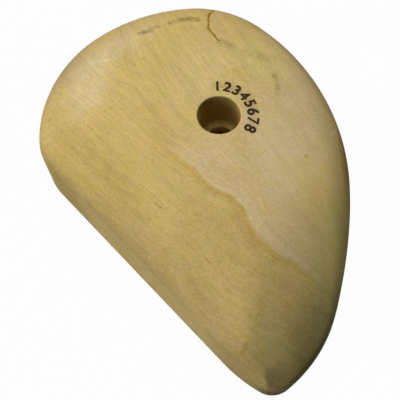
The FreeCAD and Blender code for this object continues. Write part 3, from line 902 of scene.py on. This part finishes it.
@dataclass
class WoodBody:
    """The wooden block: domed face, rolled flank and rim, and the stepped hole for the bolt."""

    outline: Outline = field(default_factory=Outline)
    crown_height: float = 46.4
    crown_place: Pair = (-8.0, -10.0)
    crown_heading: float = 95.0
    along_radius: float = 230.0
    across_radius: float = 165.0
    flank_heading: float = -45.5
    flank_radius: float = 85.0
    flank_reach: float = 89.53
    flank_foot_height: float = 5.0
    flank_start: float = 12.0
    flank_lift: float = 0.05
    flank_blend: float = 1.6
    flank_end: float = 0.97
    back_round: float = 1.0
    bolt_radius: float = 5.5
    counterbore_radius: float = 9.0
    mouth_round: float = 0.6
    ledge_height: float = 25.6
    recess_radius: float = 8.6
    recess_depth: float = 1.6
    edge_ease: float = 0.12
    turned_groove: float = 0.06
    turned_pitch: float = 1.5
    turned_fade: float = 5.0
    sanding_depth: float = 0.16
    tip_flat_normal: Place = (0.52, -0.60, 0.61)
    tip_flat_depth: float = 0.55
    columns: int = 432
    edge_steps: int = 4
    wall_steps: int = 11
    round_steps: int = 18
    face_steps: int = 66
    mouth_steps: int = 5
    counterbore_steps: int = 44
    bolt_steps: int = 8
    back_steps: int = 6

    def crown(self, plan: np.ndarray) -> np.ndarray:
        """Heights of the crown, which domes the whole face.

        An arc along the hold swings about a level axis: with a along and b across,
        f = sqrt(along_radius^2 - a^2) - (along_radius - across_radius), and the height is
        crown_height - across_radius + sqrt(f^2 - b^2).

        Args:
            plan: Places in plan, as an array of points by 2.

        Returns:
            The height at each place.
        """
        heading = math.radians(self.crown_heading)
        cosine, sine = math.cos(heading), math.sin(heading)
        offset = plan - self.crown_place
        along, across = offset @ (cosine, sine), offset @ (-sine, cosine)
        arc = np.sqrt(self.along_radius ** 2 - along ** 2) - (self.along_radius - self.across_radius)
        return self.crown_height - self.across_radius + np.sqrt(arc ** 2 - across ** 2)

    def flank(self, plan: np.ndarray) -> np.ndarray:
        """Heights of the lower right flank, which rolls down towards the wall.

        With n the plan distance along the flank's heading, the height is
        crown_height - flank_radius + sqrt(flank_radius^2 - m^2). m is how far n lies past
        the arc's top, which is placed so that the arc comes down to the foot's height at
        the reach. Near the arc's top and behind it, a growing lift of
        flank_lift * (distance behind the start)^2 keeps the flank clear of the crown.

        Args:
            plan: Places in plan, as an array of points by 2.

        Returns:
            The height at each place.
        """
        heading = math.radians(self.flank_heading)
        fall = self.flank_radius - self.crown_height + self.flank_foot_height
        top = self.flank_reach - math.sqrt(self.flank_radius ** 2 - fall ** 2)
        out = plan @ (math.cos(heading), math.sin(heading)) - top
        arc = np.sqrt(self.flank_radius ** 2 - np.clip(out, 0.0, self.flank_end * self.flank_radius) ** 2)
        behind = np.maximum(self.flank_start - out, 0.0)
        return self.crown_height - self.flank_radius + arc + self.flank_lift * behind ** 2

    def dome(self, plan: np.ndarray) -> np.ndarray:
        """Heights of the face: the lower of crown and flank, blended softly.

        share = 1/2 + (flank - crown) / (2 * flank_blend), kept from 0 to 1, is the
        crown's share. The height is the two heights mixed by it, less
        flank_blend * share * (1 - share).

        Args:
            plan: Places in plan, as an array of points by 2.

        Returns:
            The height at each place.
        """
        crown, flank = self.crown(plan), self.flank(plan)
        share = np.clip(0.5 + 0.5 * (flank - crown) / self.flank_blend, 0.0, 1.0)
        return crown * share + flank * (1.0 - share) - self.flank_blend * share * (1.0 - share)

    def slope(self, plan: np.ndarray, step: float = 1e-4) -> np.ndarray:
        """Slopes of the face along x and y, from its heights a small step to either side."""
        rises = [self.dome(plan + way) - self.dome(plan - way) for way in step * np.eye(2)]
        return np.stack(rises, axis=1) / (2.0 * step)

    def sanding(self, points: np.ndarray) -> np.ndarray:
        """Depth that hand sanding left: three slow waves, all of it inwards."""
        x, y, z = np.moveaxis(points, -1, 0)
        wave = (np.sin(x / 11.0 + 0.4 * y / 9.0) + np.sin(y / 13.0 - x / 23.0 + 1.3)
                + np.sin((x + 2.0 * y) / 17.0 + z / 9.0))
        return self.sanding_depth * (0.5 + wave / 6.0)

    def rim_rows(self, station: Station) -> tuple[list[np.ndarray], np.ndarray]:
        """Rows up the outside: back edge, upright wall and rolled round-over.

        The round-over is an arc of radius w that leaves the wall upright and meets the
        face flush, at an inset of w * (1 - sin(lean)), where lean is the face's slope
        there. As each hangs on the other, the inset is found in a few rounds.

        Args:
            station: The places of the grid's columns along the outline.

        Returns:
            The rows, and the plan places where the round-over ends.
        """
        foot, inward = station.foot, station.inward
        rows = []

        def row(inset: Amount, height: Amount, outward: Amount, upward: Amount) -> None:
            """Add a sanded row, given its inset, its height and the two parts of its normal."""
            parts = (np.broadcast_to(part, len(foot)) for part in (inset, height, outward, upward))
            inset, height, outward, upward = parts
            points = np.column_stack([foot + inward * inset[:, None], height])
            normal = np.column_stack([-inward * outward[:, None], upward])
            fade = np.clip(points[:, 2] / self.back_round / 4.0, 0.0, 1.0)
            rows.append(points - normal * (self.sanding(points) * fade)[:, None])

        for angle in np.linspace(0.0, QUARTER_TURN, self.edge_steps + 1):
            sine, cosine = math.sin(angle), math.cos(angle)
            row(self.back_round * (1.0 - sine), self.back_round * (1.0 - cosine), sine, -cosine)
        width = station.round_over
        meeting = 0.5 * width
        for _ in range(16):
            end = foot + inward * meeting[:, None]
            lean = np.arctan((self.slope(end) * inward).sum(axis=1))
            meeting = width * (1.0 - np.sin(lean))
        middle = self.dome(end) - width * np.cos(lean)
        for share in even_shares(self.wall_steps):
            row(0.0, self.back_round + share * (middle - self.back_round), 1.0, 0.0)
        for share in even_shares(self.round_steps):
            angle = share * (QUARTER_TURN - lean)
            cosine, sine = np.cos(angle), np.sin(angle)
            row(width * (1.0 - cosine), middle + width * sine, cosine, sine)
        return rows, foot + inward * meeting[:, None]

    def face_rows(self, rim: np.ndarray, mouth: np.ndarray) -> list[np.ndarray]:
        """Rows over the domed face, straight in plan from the rim to the mouth of the hole.

        The sanding's waves fade out over the last sixth of the way.

        Args:
            rim: Plan places where the rim's round-over ends.
            mouth: Plan places on the mouth of the hole.

        Returns:
            The rows.
        """
        rows = []
        for share in even_shares(self.face_steps):
            plan = rim + share * (mouth - rim)
            points = np.column_stack([plan, self.dome(plan)])
            normal = np.column_stack([-self.slope(plan), np.ones(len(plan))])
            normal /= np.linalg.norm(normal, axis=1)[:, None]
            fade = min(1.0, (1.0 - share) * 6.0)
            rows.append(points - normal * (self.sanding(points) * fade)[:, None])
        return rows

    def bore_rows(self, facing: np.ndarray) -> list[np.ndarray]:
        """Rows down the stepped hole and out over the back face's inner rim.

        The counterbore's wall keeps the faint grooves that the cutter left, as a ripple
        of the radius that dies away downwards.

        Args:
            facing: Each column's direction in plan from the bolt's axis.

        Returns:
            The rows.
        """
        ease = self.edge_ease
        rows = []

        def row(radius: float, height: Amount) -> None:
            """Add a ring of the hole."""
            rows.append(np.column_stack([facing * radius, np.broadcast_to(height, len(facing))]))

        outer = self.counterbore_radius + self.mouth_round
        crest = self.dome(facing * outer)
        for angle in QUARTER_TURN * even_shares(self.mouth_steps):
            drop = self.mouth_round * (1.0 - math.cos(angle))
            row(outer - self.mouth_round * math.sin(angle), crest - drop)
        lip = self.dome(facing * self.counterbore_radius) - self.mouth_round
        for share in even_shares(self.counterbore_steps):
            depth = share * (self.crown_height - self.ledge_height)
            groove = self.turned_groove * math.exp(-depth / self.turned_fade)
            ripple = groove * (0.5 - 0.5 * math.cos(FULL_TURN * depth / self.turned_pitch))
            row(self.counterbore_radius + ripple, lip + share * (self.ledge_height + ease - lip))
        floor = self.ledge_height - self.recess_depth
        row(self.counterbore_radius - ease, self.ledge_height)
        row(self.recess_radius + ease, self.ledge_height)
        row(self.recess_radius, self.ledge_height - ease)
        row(self.recess_radius, floor + ease)
        row(self.recess_radius - ease, floor)
        row(self.bolt_radius + ease, floor)
        for share in np.linspace(0.0, 1.0, self.bolt_steps + 1):
            row(self.bolt_radius, floor - ease + share * (2.0 * ease - floor))
        return rows

    def back_rows(self, facing: np.ndarray, rim: np.ndarray) -> list[np.ndarray]:
        """Rows over the flat back, straight from the bolt hole out to the back edge.

        Args:
            facing: Each column's direction in plan from the bolt's axis.
            rim: Plan places of the back edge.

        Returns:
            The rows.
        """
        inner = facing * (self.bolt_radius + self.edge_ease)
        shares = np.arange(self.back_steps) / self.back_steps
        return [np.column_stack([inner + share * (rim - inner), np.zeros(len(facing))]) for share in shares]

    def plane_tip(self, rows: np.ndarray) -> np.ndarray:
        """Take the small flat off the tip: what stands past its plane is laid onto it."""
        normal = np.array(self.tip_flat_normal)
        normal /= np.linalg.norm(normal)
        out = rows @ normal
        over = np.maximum(out - (out.max() - self.tip_flat_depth), 0.0)
        return rows - over[..., None] * normal

    def build(self) -> bpy.types.Object:
        """Skin the body: every column runs round its section, from the bolt hole's foot."""
        station = self.outline.stations(self.columns)
        facing = station.foot / np.linalg.norm(station.foot, axis=1)[:, None]
        mouth = facing * (self.counterbore_radius + self.mouth_round)
        rim, end = self.rim_rows(station)
        outside = self.back_rows(facing, rim[0][:, :2]) + rim
        rows = np.array(outside + self.face_rows(end, mouth) + self.bore_rows(facing))
        return mesh_from_rows("hold_body", self.plane_tip(rows))


@dataclass
class SeatWasher:
    """The plain washer in the recess of the ledge, its upper rim rounded by stamping."""

    bore_radius: float = 5.5
    outer_radius: float = 8.5
    underside: float = 24.0
    thickness: float = 1.6
    rim_round: float = 0.3
    bore_ease: float = 0.15
    columns: int = 128

    def section(self) -> np.ndarray:
        """Points of the washer's section, from the bore's foot outwards and up."""
        foot, top = self.underside, self.underside + self.thickness
        inner, outer, ease = self.bore_radius, self.outer_radius, self.bore_ease
        shoulder = outer - self.rim_round
        quarter = np.linspace(0.0, QUARTER_TURN, 7)
        rim = np.stack([shoulder + self.rim_round * np.cos(quarter),
                        top - self.rim_round + self.rim_round * np.sin(quarter)], axis=1)
        face = [(shoulder + share * (inner - shoulder), top) for share in (0.25, 0.5, 0.75)]
        quarter = np.linspace(0.0, QUARTER_TURN, 5)
        mouth = np.stack([inner + ease - ease * np.sin(quarter), top - ease + ease * np.cos(quarter)], axis=1)
        return np.concatenate([[(inner + ease, foot), (outer - ease, foot), (outer, foot + ease)],
                               rim, face, mouth, [(inner, foot + ease)]])

    def build(self) -> bpy.types.Object:
        """Turn the section round the bolt axis."""
        angles = np.arange(self.columns) / self.columns * FULL_TURN
        section = self.section()
        rows = np.stack([section[:, :1] * np.cos(angles), section[:, :1] * np.sin(angles),
                         np.broadcast_to(section[:, 1:], (len(section), self.columns))], axis=-1)
        return mesh_from_rows("turned_washer", rows)


@dataclass
class TurningScale:
    """A plain burnt scale round the bolt: eight digits."""

    digits: str = "12345678"
    first_angle: float = 86.0
    step_angle: float = -17.0
    ring_radius: float = 12.0
    digit_height: float = 4.7
    thicken: float = 0.24
    sunk: float = 0.25
    proud: float = 0.03

    def digit_mesh(self, digit: str) -> bpy.types.Mesh:
        """Return a digit's solid as a mesh, its foot at the origin and its middle on y."""
        curve = bpy.data.curves.new("digit_" + digit, "FONT")
        curve.body = digit
        curve.size = self.digit_height / 0.7 * MM
        curve.align_x = "CENTER"
        curve.extrude = 0.5 * (self.sunk + self.proud) * MM
        source = make_object("digit_" + digit, curve)
        graph = bpy.context.evaluated_depsgraph_get()
        mesh = bpy.data.meshes.new_from_object(source.evaluated_get(graph))
        bpy.data.objects.remove(source)
        bpy.data.curves.remove(curve)
        return mesh

    def build(self, body: WoodBody) -> bpy.types.Object:
        """Lay the digits on the face, each with its foot towards the bolt.

        Args:
            body: The body whose domed face carries the scale.

        Returns:
            The digits as one piece, let into the face and a little proud of it.
        """
        joined = bmesh.new()
        for number, digit in enumerate(self.digits):
            mesh = self.digit_mesh(digit)
            turn = math.radians(self.first_angle + number * self.step_angle)
            outwards = Vector((math.cos(turn), math.sin(turn), 0.0))
            place = Matrix.Translation(outwards * self.ring_radius * MM) @ Matrix.Rotation(
                turn - QUARTER_TURN, 4, "Z")
            mesh.transform(place)
            joined.from_mesh(mesh)
            bpy.data.meshes.remove(mesh)
        bmesh.ops.remove_doubles(joined, verts=joined.verts, dist=0.002 * MM)
        bmesh.ops.recalc_face_normals(joined, faces=joined.faces)
        mesh = bpy.data.meshes.new("burnt_scale")
        joined.to_mesh(mesh)
        joined.free()
        points, normals = (np.empty(3 * len(mesh.vertices), dtype=np.float32) for _ in range(2))
        mesh.vertices.foreach_get("co", points)
        mesh.vertex_normals.foreach_get("vector", normals)
        points = points.reshape(-1, 3) / MM
        sideways = normals.reshape(-1, 3)[:, :2]
        points[:, :2] += self.thicken * sideways / np.linalg.norm(sideways, axis=1)[:, None]
        points[:, 2] += body.dome(points[:, :2]) + 0.5 * (self.proud - self.sunk)
        mesh.vertices.foreach_set("co", (points * MM).astype(np.float32).ravel())
        mesh.update()
        return make_object("burnt_scale", mesh)


@dataclass(frozen=True)
class Lamp:
    """A round soft lamp: where it hangs as seen from the hold, its width and its power."""

    name: str
    direction: Place
    size: float
    power: float


@dataclass
class Studio:
    """The plain floor, the soft lamps, the weak sky and the camera."""

    floor_size: float = 8.0
    lamp_distance: float = 1.1
    lamps: tuple[Lamp, ...] = (
        Lamp("soft_lamp", (-0.23, 0.40, 0.88), 1.7, 17.3),
        Lamp("side_fill", (-0.78, -0.56, 0.26), 0.6, 4.1),
    )
    sky_strength: float = 0.03
    floor_tone: Tint = (110, 110, 110)
    white_share: float = 0.975
    target: Place = (-12.0, -30.15, 30.0)
    camera_elevation: float = 66.27
    camera_roll: float = -6.94
    camera_distance: float = 392.1
    lens: float = 85.0

    def seen_directly(self, desk: Desk) -> Socket:
        """Give 1 where the camera sees a thing straight on, or in a mirror or through glass."""
        ray = desk.add("ShaderNodeLightPath")
        mirrored = desk.most(ray.outputs["Is Camera Ray"], ray.outputs["Is Glossy Ray"])
        return desk.most(mirrored, ray.outputs["Is Transmission Ray"])

    def lay_floor(self) -> bpy.types.Object:
        """Lay the floor: near white to the camera, with the hold's shadow kept faint."""
        half = self.floor_size / 2.0
        corners = [(-half, -half, 0.0), (half, -half, 0.0), (half, half, 0.0), (-half, half, 0.0)]
        mesh = bpy.data.meshes.new("floor")
        mesh.from_pydata(corners, [], [(0, 1, 2, 3)])
        floor = make_object("floor", mesh)
        material = bpy.data.materials.new("pale_floor")
        desk = clear_desk(material)
        matt = desk.add("ShaderNodeBsdfDiffuse", tone(*self.floor_tone))
        glow = desk.add("ShaderNodeEmission", (1.0, 1.0, 1.0, 1.0), 1.0)
        share = desk.product(self.seen_directly(desk), self.white_share)
        both = desk.add("ShaderNodeMixShader", share, matt.outputs[0], glow.outputs[0])
        desk.add("ShaderNodeOutputMaterial", both.outputs[0])
        dress(floor, material)
        return floor

    def hang(self, lamp: Lamp) -> None:
        """Hang one lamp so that it faces the hold."""
        direction = Vector(lamp.direction).normalized()
        source = bpy.data.lights.new(lamp.name, "AREA")
        source.shape = "DISK"
        source.size = lamp.size
        source.energy = lamp.power
        holder = bpy.data.objects.new(lamp.name, source)
        holder.location = Vector(self.target) * MM + direction * self.lamp_distance
        holder.rotation_euler = direction.to_track_quat("Z", "Y").to_euler()
        bpy.context.scene.collection.objects.link(holder)

    def set_sky(self) -> None:
        """Set the weak sky, which looks white where it is seen."""
        world = bpy.data.worlds.new("sky")
        desk = clear_desk(world)
        strength = desk.rise(self.seen_directly(desk), 0.0, 1.0, self.sky_strength, 1.0)
        sky = desk.add("ShaderNodeBackground", (1.0, 1.0, 1.0, 1.0), strength)
        desk.add("ShaderNodeOutputWorld", sky.outputs[0])
        bpy.context.scene.world = world

    def aim_camera(self) -> None:
        """Set the camera where the photograph was taken from.

        Back is the direction from the target to the camera, right is level, and up is
        square to both. The roll then turns right towards up.
        """
        elevation = math.radians(self.camera_elevation)
        roll = math.radians(self.camera_roll)
        back = Vector((0.0, -math.cos(elevation), math.sin(elevation)))
        level = Vector((1.0, 0.0, 0.0))
        upright = back.cross(level)
        right = level * math.cos(roll) + upright * math.sin(roll)
        up = upright * math.cos(roll) - level * math.sin(roll)
        camera = bpy.data.cameras.new("camera")
        camera.lens = self.lens
        camera.clip_start = 0.01
        holder = bpy.data.objects.new("camera", camera)
        place = Vector(self.target) * MM + back * self.camera_distance * MM
        holder.matrix_world = Matrix.Translation(place) @ Matrix((right, up, back)).transposed().to_4x4()
        bpy.context.scene.collection.objects.link(holder)
        bpy.context.scene.camera = holder

    def build(self) -> None:
        """Set up the floor, the light and the camera."""
        self.lay_floor()
        for lamp in self.lamps:
            self.hang(lamp)
        self.set_sky()
        self.aim_camera()
        bpy.context.scene.view_settings.view_transform = "Standard"


def report(piece: bpy.types.Object) -> None:
    """Log a piece's name and how many faces it has."""
    log.info("%s: %d faces", piece.name, len(piece.data.polygons))


def main() -> None:
    """Build the studio and the hold's pieces in order."""
    Studio().build()
    body = WoodBody()
    wood = body.build()
    dress(wood, WoodFinish().make())
    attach(wood, "root")
    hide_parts("wood_body")
    report(wood)
    washer = SeatWasher().build()
    dress(washer, ZincFinish().make())
    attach(washer, "root")
    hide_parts("seat_washer")
    report(washer)
    scale = TurningScale().build(body)
    dress(scale, CharFinish().make())
    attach(scale, "root")
    report(scale)


if __name__ == "__main__":
    logging.basicConfig(level=logging.INFO)
    main()
